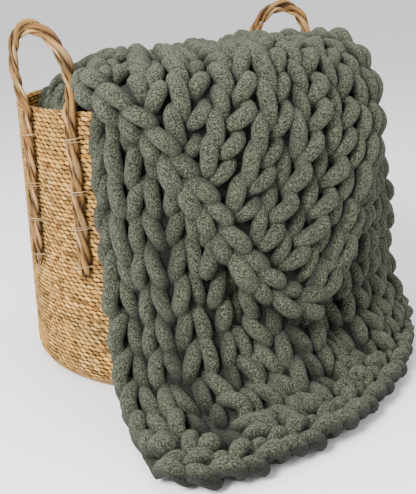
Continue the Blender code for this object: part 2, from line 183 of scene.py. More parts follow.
def through(value, table, column=1):
    """Smooth curve through one column of a table whose first column is u."""
    xs = np.array([row[0] for row in table])
    ys = np.array([row[column] for row in table])
    slope = np.gradient(ys, xs)
    i = np.clip(np.searchsorted(xs, value, side="right") - 1, 0, len(xs) - 2)
    step = xs[i + 1] - xs[i]
    t = (value - xs[i]) / step
    return (
        (1 + 2 * t) * (1 - t) ** 2 * ys[i]
        + t * (1 - t) ** 2 * step * slope[i]
        + t * t * (3 - 2 * t) * ys[i + 1]
        + t * t * (t - 1) * step * slope[i + 1]
    )


def unit(vectors):
    """The same directions with a length of 1."""
    return vectors / (np.linalg.norm(vectors, axis=-1, keepdims=True) + 1e-12)


def running_length(line):
    """Length along a line up to each of its points."""
    return np.concatenate([[0.0], np.cumsum(np.linalg.norm(np.diff(line, axis=0), axis=-1))])


def with_ends(points):
    """Points [..., n, 3] with one more at each end, in a straight line with the last two."""
    first = 2 * points[..., :1, :] - points[..., 1:2, :]
    last = 2 * points[..., -1:, :] - points[..., -2:-1, :]
    return np.concatenate([first, points, last], -2)


def handle_path():
    """Half width and height of one handle's rope, from one foot over the loop to the other."""
    leg = np.linspace(0.0, 1.0, 18)
    side = np.linspace(0.0, 1.0, 4)[1:]
    crown = np.linspace(0.0, math.pi / 2, 9)[1:]
    widths = np.concatenate([
        HALF_WIDTH_FOOT + (HALF_WIDTH_RIM - HALF_WIDTH_FOOT) * leg,
        HALF_WIDTH_RIM + (HALF_WIDTH_LOOP - HALF_WIDTH_RIM) * np.sin(side * math.pi / 2),
        HALF_WIDTH_LOOP * np.cos(crown),
    ])
    heights = np.concatenate([
        HANDLE_FOOT_HEIGHT + (BASKET_HEIGHT - HANDLE_FOOT_HEIGHT) * leg,
        BASKET_HEIGHT + HANDLE_WIDEST * side,
        BASKET_HEIGHT + HANDLE_WIDEST + (HANDLE_LOOP_HEIGHT - HANDLE_WIDEST) * np.sin(crown),
    ])
    half = np.stack([widths, heights], -1)
    return np.concatenate([half, half[-2::-1] * (-1, 1)])


# -------- blanket: where each wale runs

def share_round(u):
    """Share of the way round the wall at u: a pleat takes up cloth without going round."""
    grid = np.linspace(0.0, 1.0, 801)
    rate = np.ones_like(grid)
    for centre, half_width, *_, gather in PLEATS:
        rate -= gather * bump(grid, centre, half_width)
    total = np.concatenate([[0.0], np.cumsum((rate[1:] + rate[:-1]) / 2)])
    return np.interp(u, grid, total / total[-1])


def pleat_depth(u, column):
    """Depth of all pleats at u, in one column of PLEATS."""
    return sum(row[column] * bump(u, row[0], row[1]) for row in PLEATS)


def across_inside(u, forward, height, main_swing, half_swing, right_rise):
    """Row of the sag across the inside of the basket."""
    angle = np.radians((2 * u - 1) * half_swing)
    main = math.radians(main_swing)
    along = forward * INSIDE_RADIUS * np.cos(angle)
    side = INSIDE_RADIUS * np.sin(angle)
    x = along * math.sin(main) + side * math.cos(main)
    y = -along * math.cos(main) + side * math.sin(main)
    climb = SAG_EDGE_RISE * (1 - forward**2) * (2 * u - 1) ** 4
    return np.stack([x, y, height + right_rise * u + climb], -1)


def lower_layer(u):
    """Rows of the layer on the floor and the wall, from the hem to the top of the rim."""
    swing = LEFT_SELVEDGE_SWING + (RIGHT_SELVEDGE_SWING - LEFT_SELVEDGE_SWING) * share_round(u)
    away = ramp(u, 0.25, 0.85)
    at_left = ramp(1 - u, 0.85, 1.0)
    hem_swing = through(u, HEM_OUTLINE, 1)
    hem_radius = through(u, HEM_OUTLINE, 2)
    heel_swing = swing + (hem_swing - swing) * (HEEL_TURN[0] - HEEL_TURN[1] * away)
    wall = []
    for k, (turn, radius, right_out, left_in, height, right_rise) in enumerate(WALL_ROWS):
        reach = radius + right_out * away - left_in * at_left - pleat_depth(u, 2 + k)
        wall.append(around(swing + (heel_swing - swing) * turn, reach, height + right_rise * away))
    toward_hem, floor_height = FLOOR_ROW
    floor_swing = heel_swing + (hem_swing - heel_swing) * toward_hem
    heel_radius = WALL_ROWS[0][1] + WALL_ROWS[0][2] * away
    floor = around(floor_swing, (heel_radius + hem_radius) / 2, floor_height)
    return [around(hem_swing, hem_radius, HEM_HEIGHT), floor] + wall


def upper_layer(u):
    """Rows over the basket's mouth and down the front to the far edge."""
    over_rim = ramp(u, *STEPS_OUT)
    beyond = np.clip((u - FALL_START_U) / (1 - FALL_START_U), 0.0, 1.0)
    tucked = np.clip((FALL_START_U - u) / FALL_START_U, 0.0, 1.0)
    swing = LEFT_SELVEDGE_SWING + SHOULDER_SPAN * beyond - TUCKED_SPAN * tucked
    radius, fall_radius = (
        start + step * over_rim + right * beyond for start, step, right in (SHOULDER_RADIUS, FALL_RADIUS)
    )
    heap = through(u, HEAP_HEIGHT)
    back = across_inside(u, *SAG_ROWS[-1])
    front = around(swing, radius, 0.0)
    edge_swing = through(u, FAR_EDGE, 1)
    edge_height = through(u, FAR_EDGE, 2)
    shoulder_height = heap - SHOULDER_DROP

    rows = []
    for share, rise in OVER_ROWS:
        row = back * (1 - share) + front * share
        row[..., 2] = heap + rise
        rows.append(row)
    rows.append(around(swing, radius + SHOULDER_STEP * over_rim, shoulder_height))
    for share, left_out, right_out in FALL_ROWS:
        height = (shoulder_height - FALL_TOP_DROP) * (1 - share) + edge_height * share
        reach = fall_radius + left_out + (right_out - left_out) * beyond
        rows.append(around(swing + (edge_swing - swing) * share**FALL_BEND, reach, height))
    return rows


def wale_paths(u):
    """Smooth path of each wale through all rows, its running length, and the length at the rim and at the
    back wall."""
    lower = lower_layer(u)
    inside = [across_inside(u, *row) for row in SAG_ROWS]
    rows = np.stack(lower + inside + upper_layer(u), -2)
    padded = with_ends(rows)
    chord = np.linalg.norm(np.diff(padded, axis=1), axis=-1)[..., None, None] ** 0.5 + 1e-6
    t = np.linspace(0.0, 1.0, SAMPLES, endpoint=False)[:, None]
    parts = []
    for k in range(1, rows.shape[1]):
        a, b, c, d = (padded[:, k + step][:, None] for step in (-1, 0, 1, 2))
        before, here, after = (chord[:, k + step] for step in (-1, 0, 1))
        start = ((b - a) / before - (c - a) / (before + here) + (c - b) / here) * here
        end = ((c - b) / here - (d - b) / (here + after) + (d - c) / after) * here
        parts.append(
            (2 * t**3 - 3 * t**2 + 1) * b + (t**3 - 2 * t**2 + t) * start
            + (3 * t**2 - 2 * t**3) * c + (t**3 - t**2) * end
        )
    path = np.concatenate(parts + [rows[:, -1:]], 1)
    run = np.stack([running_length(line) for line in path])
    at_rim = (len(lower) - 1) * SAMPLES
    at_back = at_rim + len(inside) * SAMPLES
    return path, run, run[:, at_rim], run[:, at_back]


def blanket_points(u, v):
    """Middle of the cloth at every u and v, and its normal on the side that faces out on the wall."""
    path, run, at_rim, at_back = wale_paths(u)
    points = np.zeros((len(u), len(v), 3))
    for i in range(len(u)):
        upper = max(run[i, -1] - at_back[i], UPPER_SHORTEST)
        stops = [0.0, at_rim[i], run[i, -1] - upper, run[i, -1]]
        places = np.interp(v, [0.0, 1.0, 2.0, 3.0], stops)
        for axis in range(3):
            points[i, :, axis] = np.interp(places, run[i], path[i, :, axis])
    return points, unit(np.cross(np.gradient(points, axis=0), np.gradient(points, axis=1)))


# -------- sizes of the looks

# Width of a wale where its yarn has its full size.
WALE_PITCH = 0.040
YARN_RADIUS = 0.0100
YARN_SIDES = 10
YARN_SQUASH = 0.96
# Limits of the share by which a yarn's size fits the room that its wale has.
YARN_FIT = (0.62, 1.06)
# The middle of a yarn lies at least this share of its radius over the floor.
PRESSED_RADIUS = 0.97
LOOP_STEPS = 2
# Unevenness of the loops: spread of the draws, and height of the slow waves over the cloth.
LOOP_DRAWS = {"size": 0.07, "shift": 0.030, "slip": 0.05, "lean": 0.05, "roll": 0.20, "front": 0.0009}
LOOP_WAVES = {"shift": 0.05, "lean": 0.09, "roll": 0.60, "girth": 0.05}
# A loop's skew also rolls it, times this.
SKEW_ROLL = 2.2
INSIDE_LOOPS = 14
# In shares of a wale: a loop's legs lie within the first, and are drawn towards the second.
LEGS_WITHIN = 0.4
LEG_PLACE = 0.235
# Past this place a loop belongs to the yarn between two wales, and doesn't roll.
ROLLS_WITHIN = 0.49
SELVEDGE_INSET = 0.10
# Share of each layer's length that the chain along its edge takes up.
HEM_BAND = 0.088
EDGE_BAND = 0.049
# Painted shade: yarn is painted dark below the first height over the cloth's middle and full above the second
# one.
CREVICE = (0.001, 0.017)
# Painted shade between a rope's strands: how much darker a strand is near the rope's core.
CORE_SHADE = 0.45
# Painted shade on a yarn's flank: it is darkest below the first share of its height and full above the second
# one.
FLANK_SHADE = 0.68
FLANK = (-0.3, 0.85)
# How far the yarn sinks for its place, and again for its painted shade: depth in a pleat's valley, share of a
# ridge's height, share of the hollow's depth.
YARN_SINKS = [(0.006, 0.35, 1.0), (0.010, 0.8, 0.5)]
# A hollow in the folded-back layer: depth, and its centre and half width in u and v.
HOLLOW_DEPTH = 0.010
HOLLOW_ACROSS = (0.40, 0.20)
HOLLOW_ALONG = (2.82, 0.24)
# Part of v in which the side of the cloth that shows changes over.
SIDES_CHANGE = (1.45, 1.55)
GRID_U = 121
GRID_V = 361
WEB_THICKNESS = 0.003
# Tone of the sheet behind the yarn: dark, painted shade in the gaps between the loops.
WEB_SHADE_TONE = 0.10
WALL_GAP = 0.0008

CHIP_WIDTH = 0.0124
CHIP_ROW = 0.0062
CHIP_DEPTH = 0.0015
CHIP_LENGTH = 1.42
CHIP_HEIGHT = 1.12
CHIP_SLANT = 0.22
# Unevenness of the chips: middle and spread of the tone, its limits, and ranges of the other draws.
CHIP_TONE = (0.62, 0.17)
CHIP_TONES = (0.30, 1.1)
CHIP_SHIFT = 0.06
CHIP_LENGTHS = (0.85, 1.15)
CHIP_HEIGHTS = (0.80, 1.15)
CHIP_SLANTS = 0.16
CHIP_BULGES = (0.75, 1.15)
# The outline of a chip and the two points of its crown: across, up, lift.
CHIP_POINTS = [
    (-0.5, 0.0, -1.0), (-0.22, 0.5, 0.1), (0.22, 0.5, 0.1), (0.5, 0.0, -1.0), (0.22, -0.5, -0.2),
    (-0.22, -0.5, -0.2), (-0.24, 0.03, 0.9), (0.22, -0.02, 0.9),
]
CHIP_FACES = [(0, 6, 1), (1, 6, 7, 2), (2, 7, 3), (3, 7, 4), (4, 7, 6, 5), (5, 6, 0)]
# The ground behind the chips: its depth in depths of a chip, and its tone, dark as painted shade between the
# chips.
GROUND_DEPTH = 0.9
GROUND_SHADE_TONE = -0.2
RIM_PROUD = 0.0005
UNDERSIDE_RINGS = 42
UNDERSIDE_SIDES = 96
RING_DEPTH = 0.0012

STRAND_TURN = 0.076
THIN_TURN = 0.7 * STRAND_TURN
# sideways place, distance of the strand from it, radius, length of a turn, tone, start of the turn
STRANDS = [
    (0.0034, 0.0026, 0.0045, STRAND_TURN, 0.62, 0.0),
    (0.0034, 0.0028, 0.0042, STRAND_TURN, 0.44, math.pi),
    (-0.0058, 0.0020, 0.0027, THIN_TURN, 0.86, 0.6),
    (-0.0058, 0.0020, 0.0026, THIN_TURN, 0.50, 0.6 + math.pi),
]
STRANDS_IN = 0.0028
STRAND_SIDES = 18
# Grooves along a strand: how many, how deep in shares of its radius, how narrow, and their turn a metre.
GROOVES = 5
GROOVE_DEPTH = 0.16
GROOVE_SHARPNESS = 6
GROOVE_TWIST = 85.0
# The rope thins over this length at its ends, to this share of its radius.
ROPE_END = 0.010
END_SHARE = 0.45
# Slow changes along the rope, as height and radians a metre: of its turn, its radius, which fades in and
# out with a beat, and its sideways place.
TURN_WAVE = (0.30, 21.0)
RADIUS_WAVE = (0.09, 130.0)
RADIUS_BEAT = 47.0
STRAY_WAVE = (0.0007, 60.0)
LASHING_HEIGHTS = (0.364, 0.293, 0.243, 0.189)
TWINE_RADIUS = 0.0006
TWINE_HALF_WIDTH = 0.0128
TWINE_OUT = 0.0150
TWINE_IN = 0.0100
TWINE_STEPS = (-0.0016, 0.0014)

# Half of one knit loop, from the yarn between two wales to the head of the loop.
# across (shares of a wale), along (shares of a course), front (m), girth (share of the yarn's radius)
HALF_LOOP = [
    (-0.500, -0.10, -0.0085, 0.80),
    (-0.300, -0.04, -0.0075, 0.84),
    (-0.110, 0.10, -0.0030, 0.92),
    (-0.165, 0.38, 0.0070, 1.04),
    (-0.265, 0.72, 0.0100, 1.10),
    (-0.345, 1.02, 0.0065, 1.06),
    (-0.265, 1.27, -0.0040, 0.92),
    (0.000, 1.34, -0.0085, 0.82),
]

# The other half of a loop goes across the other way.
MIRROR = (-1, 1, 1, 1)

# Half of one loop of a chain along an edge: across (shares of the spread), ahead (shares of the pitch),
# front (m), girth (share of the yarn's radius)
HALF_CHAIN = [
    (0.00, -0.28, -0.0095, 0.74),
    (0.28, -0.02, -0.0045, 0.86),
    (0.80, 0.28, 0.0040, 1.02),
    (1.18, 0.60, 0.0085, 1.14),
    (1.36, 0.90, 0.0045, 1.08),
    (1.06, 1.12, -0.0040, 0.92),
    (0.40, 1.24, -0.0100, 0.78),
]

# name, first and last place (u, v), points, stitches, spread, radius, how far it stands out, seed
CHAINS = [
    ("hem_chain", (0.014, 0.010), (0.990, 0.010), 81, 27, 0.0106, 0.0107, 0.006, 51),
    ("far_edge_chain", (0.44, 2.985), (1.0, 2.985), 81, 14, 0.0096, 0.0106, 0.014, 52),
    ("flap_selvedge", (0.988, 2.98), (0.988, 2.30), 61, 11, 0.0094, 0.0100, 0.011, 53),
]
CHAIN_SIZES = 0.06
CHAIN_TILTS = 0.0025
# How much deeper a chain's yarn is painted in shade than it lies.
CHAIN_SHADE_DEPTH = 0.001

# Knobs above the hem. SPAN and FRONT hold a place and a height for one end, the middle and the other end.
KNOB_DRAWS = {"across": 0.08, "along": 0.006, "lean": 0.12, "radius": 0.06}
KNOB_SIDES = 12
# How much deeper a knob's yarn is painted in shade than it lies.
KNOB_SHADE_DEPTH = 0.013
KNOB_ALONG = 0.066
KNOB_SPAN = (0.020, 0.0, -0.016)
KNOB_FRONT = (0.010, 0.022, 0.014)
KNOB_RADIUS = 0.0142
KNOB_REACH = 0.92

# Slack loops that bunch up over the rim at the left of the fold: rows along the cloth, loops in a row, and
# the part of u and v that they fill.
BUNCH_ROWS = 4
BUNCH_LOOPS = 4
BUNCH_ACROSS = (0.22, 0.50)
BUNCH_ALONG = (2.60, 2.95)
# A row's loops fan out, from this many degrees off the course to as many the other way.
BUNCH_FAN = 40.0
BUNCH_UNEVEN = 18.0
BUNCH_HALF_LENGTH = 0.019
BUNCH_LENGTHS = (0.85, 1.15)
BUNCH_GIRTHS = (0.95, 1.06)
# Points from the middle to the ends, as shares of the half length.
BUNCH_SHARES = np.linspace(-0.96, 0.96, 15)
BUNCH_SIDES = 14
BUNCH_BOW = 0.003
BUNCH_FRONT = 0.018
BUNCH_RADIUS = 0.0104
BUNCH_ENDS_IN = 0.007

FLOOR_HALF = 60.0
FLOOR_HEIGHT = -0.0005
LIGHT_TARGET = (0.0, 0.0, 0.2)
# name, place, size, power, colour
LIGHTS = [
    ("key", (-1.15, -2.2, 1.9), 0.9, 235.0, (1.0, 0.985, 0.96)),
    ("fill", (1.9, -1.8, 1.3), 1.6, 24.0, (0.97, 0.98, 1.0)),
    ("top", (0.1, 0.3, 2.6), 1.4, 34.0, (1.0, 1.0, 1.0)),
]
SKY_COLOUR = (0.95, 0.96, 0.98, 1)
SKY_STRENGTH = 1.22


# -------- reading the draped surface

DRAPE, DRAPE_NORMAL = blanket_points(np.linspace(0.0, 1.0, GRID_U), np.linspace(0.0, 3.0, GRID_V))


def read_grid(grid, u, v):
    """Value of a grid over the cloth at any u and v, carried on in a straight line past the edges."""
    x = u * (GRID_U - 1)
    y = v / 3.0 * (GRID_V - 1)
    i = np.clip(np.floor(x).astype(int), 0, GRID_U - 2)
    j = np.clip(np.floor(y).astype(int), 0, GRID_V - 2)
    s = (x - i)[..., None]
    t = (y - j)[..., None]
    near = grid[i, j] * (1 - s) + grid[i + 1, j] * s
    far = grid[i, j + 1] * (1 - s) + grid[i + 1, j + 1] * s
    return near * (1 - t) + far * t


def on_cloth(u, v, front):
    """Point at a distance in front of the middle of the cloth, and the direction that faces out there.
    The outer side of the cloth shows up to SIDES_CHANGE, and its other side after that."""
    side = 1.0 - 2.0 * ramp(v, *SIDES_CHANGE)
    facing = unit(read_grid(DRAPE_NORMAL, u, v) * side[..., None])
    return read_grid(DRAPE, u, v) + facing * front[..., None], facing


SPACING = np.linalg.norm(np.gradient(DRAPE, axis=0), axis=-1)[..., None] * (GRID_U - 1) / WALES


def wave(u, v, seed):
    """Slow unevenness over the cloth, about -1 to 1, from five sine waves across and along it."""
    draw = np.random.default_rng(seed)
    total = 0.0
    for _ in range(5):
        a, b = draw.uniform(2.0, 9.0, 2) * draw.choice([-1, 1], 2)
        total = total + np.sin(2 * math.pi * (a * u + b * v / 3.0 + draw.uniform()))
    return total / 2.6


# -------- meshes

def smooth_line(points, steps):
    """Catmull-Rom through points, with steps from one to the next."""
    padded = with_ends(points)
    a, b, c, d = (padded[k:len(points) - 1 + k, None] for k in range(4))
    t = np.linspace(0, 1, steps, endpoint=False)[:, None]
    out = 0.5 * (2 * b + (c - a) * t + (2 * a - 5 * b + 4 * c - d) * t**2 + (3 * b - a - 3 * c + d) * t**3)
    return np.concatenate([out.reshape(-1, points.shape[1]), points[-1:]])


def mesh_piece(name, verts, faces, mat, tone, uvs=None, cell=None):
    """One piece. tone is a shade for each point, uvs run along its strands, and cell spans each chip."""
    mesh = bpy.data.meshes.new(name)
    mesh.from_pydata([tuple(p) for p in verts], [], faces)
    mesh.validate()
    corner = np.empty(len(mesh.loops), dtype=np.int32)
    mesh.loops.foreach_get("vertex_index", corner)
    for map_name, places in (("along", uvs), ("cell", cell)):
        if places is not None:
            layer = mesh.uv_layers.new(name=map_name)
            layer.data.foreach_set("uv", np.asarray(places, dtype=np.float32)[corner].ravel())
    shade = mesh.attributes.new("tone", "FLOAT", "POINT")
    shade.data.foreach_set("value", np.asarray(tone, dtype=np.float32))
    mesh.shade_smooth()
    mesh.materials.append(mat)
    obj = bpy.data.objects.new(name, mesh)
    bpy.context.scene.collection.objects.link(obj)
    return obj


def ring_faces(rings, sides):
    """Faces between rings of points that have the same number of sides."""
    index = np.arange(rings * sides).reshape(rings, sides)
    after = np.roll(index, -1, axis=1)
    return np.stack([index[:-1], after[:-1], after[1:], index[1:]], -1).reshape(-1, 4)


def rest_on_floor(line, radius):
    """Lifts a yarn's line so that the floor presses it flat by a little at most."""
    line[:, 2] = np.maximum(line[:, 2], radius * PRESSED_RADIUS)


def off_wall(ring, line):
    """The yarn's rings beside the basket's wall, pressed clear of it on the side that the yarn runs."""
    radius = np.linalg.norm(ring[..., :2], axis=-1)
    outside = np.linalg.norm(line[:, :2], axis=-1)[:, None] > BASKET_RADIUS - BASKET_WALL / 2
    pressed = np.where(outside, np.maximum(radius, BASKET_RADIUS + WALL_GAP),
                       np.minimum(radius, BASKET_RADIUS - BASKET_WALL - WALL_GAP))
    ring[..., :2] *= np.where(ring[..., 2] < BASKET_HEIGHT, pressed / radius, 1.0)[..., None]
    return ring


class Tubes:
    """Gathers tubes into one mesh. Each tube is a line of points with a radius and a side direction."""

    def __init__(self):
        self.verts, self.faces, self.uvs, self.tones, self.count = [], [], [], [], 0

    def add(self, line, radius, facing, sides, squash=1.0, tone=0.5, groove=0.0, twist=0.0, front=None,
            core=None, reach=0.0):
        """Adds one tube. groove and twist wind grooves round it. front is a yarn's height over the cloth,
        by which its colour gets painted shade and it is kept off the wall. A strand gets painted shade within
        reach of its core."""
        line = np.asarray(line, float)
        n = len(line)
        run = running_length(line)
        along = unit(np.gradient(line, axis=0))
        side = unit(np.cross(along, facing))
        up = np.cross(side, along)
        angle = 2 * math.pi * np.arange(sides) / sides
        radius = np.broadcast_to(radius, (n,)).astype(float)
        turn = angle[None, :] + twist * run[:, None]
        shape = 1.0 - groove * np.abs(np.sin(GROOVES * turn / 2.0)) ** GROOVE_SHARPNESS
        ring = line[:, None] + (radius[:, None] * shape)[..., None] * (
            np.cos(angle)[None, :, None] * side[:, None]
            + squash * np.sin(angle)[None, :, None] * up[:, None]
        )
        shade = np.full((n, sides), float(tone))
        if front is not None:
            ring = off_wall(ring, line)
            # Painted shade: darker low between the stitches and on the flanks that turn away from the cloth's
            # outside.
            height = front[:, None] + (radius * squash)[:, None] * np.sin(angle)[None]
            flank = 1 - ramp(np.sin(angle), *FLANK)
            shade = ramp(height, *CREVICE) * (1 - FLANK_SHADE * flank)
        if core is not None:
            # Painted shade between the strands, near the rope's core.
            away = np.linalg.norm(ring - core[:, None], axis=-1)
            shade -= CORE_SHADE * (1 - ramp(away, reach * 0.9, reach + radius.max() * 0.9))
        self.verts.append(ring.reshape(-1, 3))
        places = np.broadcast_arrays(run[:, None], angle[None] / (2 * math.pi))
        self.uvs.append(np.stack(places, -1).reshape(-1, 2))
        self.tones.append(shade.ravel())
        first = np.arange(sides) + self.count
        self.faces += (ring_faces(n, sides) + self.count).tolist()
        self.faces += [first[::-1].tolist(), (first + (n - 1) * sides).tolist()]
        self.count += n * sides

    def piece(self, name, mat):
        verts, tones, uvs = (np.concatenate(part) for part in (self.verts, self.tones, self.uvs))
        return mesh_piece(name, verts, self.faces, mat, tones, uvs)


# -------- materials

class Shader:
    """A material, with short ways to add nodes to it."""

    def __init__(self, name):
        self.mat = bpy.data.materials.new(name)
        self.mat.use_nodes = True
        self.tree = self.mat.node_tree
        self.surface = self.tree.nodes["Principled BSDF"]

    def fill(self, node, inputs):
        """Sets each input of a node to its value, or links it to another node's output."""
        for key, value in inputs.items():
            if isinstance(value, bpy.types.NodeSocket):
                self.tree.links.new(value, node.inputs[key])
            else:
                node.inputs[key].default_value = value

    def add(self, kind, output, inputs, **settings):
        """Adds a node and gives one of its outputs."""
        node = self.tree.nodes.new("ShaderNode" + kind)
        for key, value in settings.items():
            setattr(node, key, value)
        self.fill(node, inputs)
        return node.outputs[output]

    def noise(self, place, **inputs):
        return self.add("TexNoise", "Fac", {"Vector": place, **inputs})

    def maths(self, operation, *values):
        return self.add("Math", "Value", dict(enumerate(values)), operation=operation)

    def spread(self, value, start, end, low=0.0, high=1.0, **settings):
        """Carries a value from the range of start to end over to the range of low to high."""
        inputs = {"Value": value, "From Min": start, "From Max": end, "To Min": low, "To Max": high}
        return self.add("MapRange", "Result", inputs, **settings)

    def colours(self, value, *stops):
        """Colour of a value between stops, which are places with their colours."""
        node = self.tree.nodes.new("ShaderNodeValToRGB")
        elements = node.color_ramp.elements
        for place, _ in stops[1:-1]:
            elements.new(place)
        for element, (place, colour) in zip(elements, stops):
            element.position = place
            element.color = (*colour, 1)
        self.fill(node, {"Fac": value})
        return node.outputs["Color"]

    def mix(self, factor, first, second, **settings):
        inputs = {"Factor": factor, "A": first, "B": second}
        return self.add("Mix", "Result", inputs, data_type="RGBA", **settings)

    def relief(self, height, strength, distance):
        inputs = {"Height": height, "Strength": strength, "Distance": distance}
        return self.add("Bump", "Normal", inputs)


def chenille_material():
    """Plush yarn, with painted shade: darker where its tone says that it lies deep between the stitches or
    turns away on its flank.
    """
    shader = Shader("chenille_plush")
    place = shader.add("TexCoord", "Object", {})
    tuft = shader.noise(place, Scale=500.0, Detail=3.0, Roughness=0.65)
    clump = shader.noise(place, Scale=190.0)
    drift = shader.noise(place, Scale=9.0)
    tips = shader.colours(tuft, (0.42, (0.0064, 0.0077, 0.0046)), (0.65, (0.110, 0.117, 0.077)))
    shade = shader.spread(drift, 0.3, 0.7, 0.86, 1.10)
    yarn_colour = shader.mix(1.0, tips, shade, blend_type="MULTIPLY")
    # The tone attribute holds painted shade, which scales the yarn's colour.
    painted_shade = shader.add("Attribute", "Fac", {}, attribute_name="tone")
    light = shader.spread(painted_shade, 0.0, 1.0, 0.01)
    painted_shade_colour = shader.add("VectorMath", "Vector", {"Vector": yarn_colour, "Scale": light}, operation="SCALE")
    shader.fill(shader.surface, {
        "Base Color": painted_shade_colour,
        "Normal": shader.relief(shader.maths("ADD", tuft, clump), 1.0, 0.0032),
        "Roughness": 0.95,
        "Specular IOR Level": 0.15,
        "Sheen Weight": 0.10,
        "Sheen Roughness": 0.55,
        "Sheen Tint": (0.75, 0.80, 0.66, 1),
    })
    return shader.mat


def chip_edge(shader):
    """0 in the middle of a lens-shaped chip and 1 along its outline."""
    cell = shader.add("UVMap", "UV", {}, uv_map="cell")
    x, y = (shader.maths("ABSOLUTE", shader.add("SeparateXYZ", axis, {"Vector": cell})) for axis in "XY")
    slanted = shader.maths("MULTIPLY_ADD", y, 0.56, x)
    return shader.spread(shader.maths("MAXIMUM", slanted, y), 0.58, 1.02, interpolation_type="SMOOTHSTEP")


def straw_material(name, light, dark, pale, stretch, depth, chips=False):
    """Dried grass: fibres along the strand, each chip or strand with a tone of its own. A chip's outline gets
    painted shade.
    """
    shader = Shader(name)
    tone = shader.add("Attribute", "Fac", {}, attribute_name="tone")
    along = shader.add("UVMap", "UV", {}, uv_map="along")
    fibre = shader.noise(shader.add("Mapping", "Vector", {"Vector": along, "Scale": stretch}),
                         Scale=1.0, Detail=4.0)
    patch = shader.noise(shader.add("TexCoord", "Object", {}), Scale=34.0, Detail=3.0)
    value = shader.spread(shader.maths("ADD", tone, fibre), 0.62, 1.52)
    grass = shader.colours(value, (0.0, dark), (0.5, light), (1.0, pale))
    shade = shader.colours(patch, (0.34, (0.76, 0.84, 0.96)), (0.66, (1.0, 0.90, 0.74)))
    colour = shader.mix(1.0, grass, shade, blend_type="MULTIPLY")
    height = fibre
    if chips:
        edge = chip_edge(shader)
        # Painted shade: each chip's outline is darkened towards the dark grass colour.
        colour = shader.mix(shader.maths("MULTIPLY", edge, 0.92), colour, (*dark, 1))
        height = shader.maths("MULTIPLY_ADD", edge, -2.2, height)
    shader.fill(shader.surface, {
        "Base Color": colour,
        "Normal": shader.relief(height, 0.7, depth),
        "Roughness": 0.75,
        "Specular IOR Level": 0.15,
    })
    return shader.mat


# -------- basket

def lattice(name, profile, columns, depth, mat, seed):
    """Twined weave on a turned profile: lens-shaped chips of grass, row over row, on a ground painted dark as
    shade between them.
    profile is a list of (radius, height, outward radius part, outward height part)."""
    draw = np.random.default_rng(seed)
    profile = np.asarray(profile, float)
    rows = len(profile) - 1
    turn = 2 * math.pi / columns
    ground = columns // 2
    faces = ring_faces(rows + 1, ground).tolist()
    verts, uvs, tones, cell = [], [], [], []

    def point(row, column, lift):
        at = min(max(row, 0.0), float(rows))
        k = min(int(at), rows - 1)
        r, z, out_r, out_z = profile[k] + (profile[k + 1] - profile[k]) * (at - k)
        angle = turn * column
        reach = r + out_r * lift
        return (reach * math.sin(angle), -reach * math.cos(angle), z + out_z * lift)

    for j in range(rows + 1):
        for i in range(ground):
            verts.append(point(j, i * columns / ground, -depth * GROUND_DEPTH))
            uvs.append((i, j))
            cell.append((1.0, 1.0))
            # Painted shade: the ground between the chips is dark.
            tones.append(GROUND_SHADE_TONE)

    for j in range(rows):
        for i in range(columns):
            tone = float(np.clip(draw.normal(*CHIP_TONE), *CHIP_TONES))
            middle = i + 0.5 * (j % 2) + draw.uniform(-CHIP_SHIFT, CHIP_SHIFT)
            length = CHIP_LENGTH * draw.uniform(*CHIP_LENGTHS)
            tall = CHIP_HEIGHT * draw.uniform(*CHIP_HEIGHTS)
            slant = CHIP_SLANT + draw.uniform(-CHIP_SLANTS, CHIP_SLANTS)
            bulge = depth * draw.uniform(*CHIP_BULGES)
            first = len(verts)
            for x, y, lift in CHIP_POINTS:
                row = j + 0.5 + y * tall - slant * x * 2
                verts.append(point(row, middle + x * length, lift * bulge))
                uvs.append((i + 7.3 * j + x, j + y))
                cell.append((2 * x, 2 * y))
                tones.append(tone)
            faces += [tuple(first + k for k in face) for face in CHIP_FACES]
    uvs = np.asarray(uvs) * (CHIP_WIDTH, CHIP_ROW)
    return mesh_piece(name, verts, faces, mat, tones, uvs, cell)


def bend(middle_radius, middle_height, radius, angles):
    """Stations of a profile round a bend."""
    return [
        (middle_radius + radius * math.cos(a), middle_height + radius * math.sin(a), math.cos(a), math.sin(a))
        for a in np.radians(angles)
    ]


def wall_profile():
    """Stations up the outside of the wall from the round base corner, and over the rim."""
    outer = BASKET_RADIUS - CHIP_DEPTH
    middle = BASKET_RADIUS - BASKET_WALL / 2
    top = BASKET_HEIGHT - BASKET_WALL / 2
    count = int((top - BASKET_BASE_ROUND) / CHIP_ROW)
    corner = bend(BASKET_RADIUS - BASKET_BASE_ROUND, BASKET_BASE_ROUND, BASKET_BASE_ROUND - CHIP_DEPTH,
                  np.linspace(-90, 0, 8))
    wall = [(outer, z, 1.0, 0.0) for z in np.linspace(BASKET_BASE_ROUND, top, count + 1)[1:]]
    return corner + wall + bend(middle, top, BASKET_WALL / 2 + RIM_PROUD, np.linspace(0, 180, 6)[1:])


def inside_profile():
    """Stations down the inside of the wall and over the floor to a small hole at its middle."""
    inner = BASKET_RADIUS - BASKET_WALL + CHIP_DEPTH
    wall = np.linspace(BASKET_HEIGHT - BASKET_WALL / 2, BASKET_WALL + 0.02, 60)
    base = np.linspace(inner - 0.012, 0.004, 26)
    return [(inner, z, -1.0, 0.0) for z in wall] + [(r, BASKET_WALL + 0.002, 0.0, 1.0) for r in base]


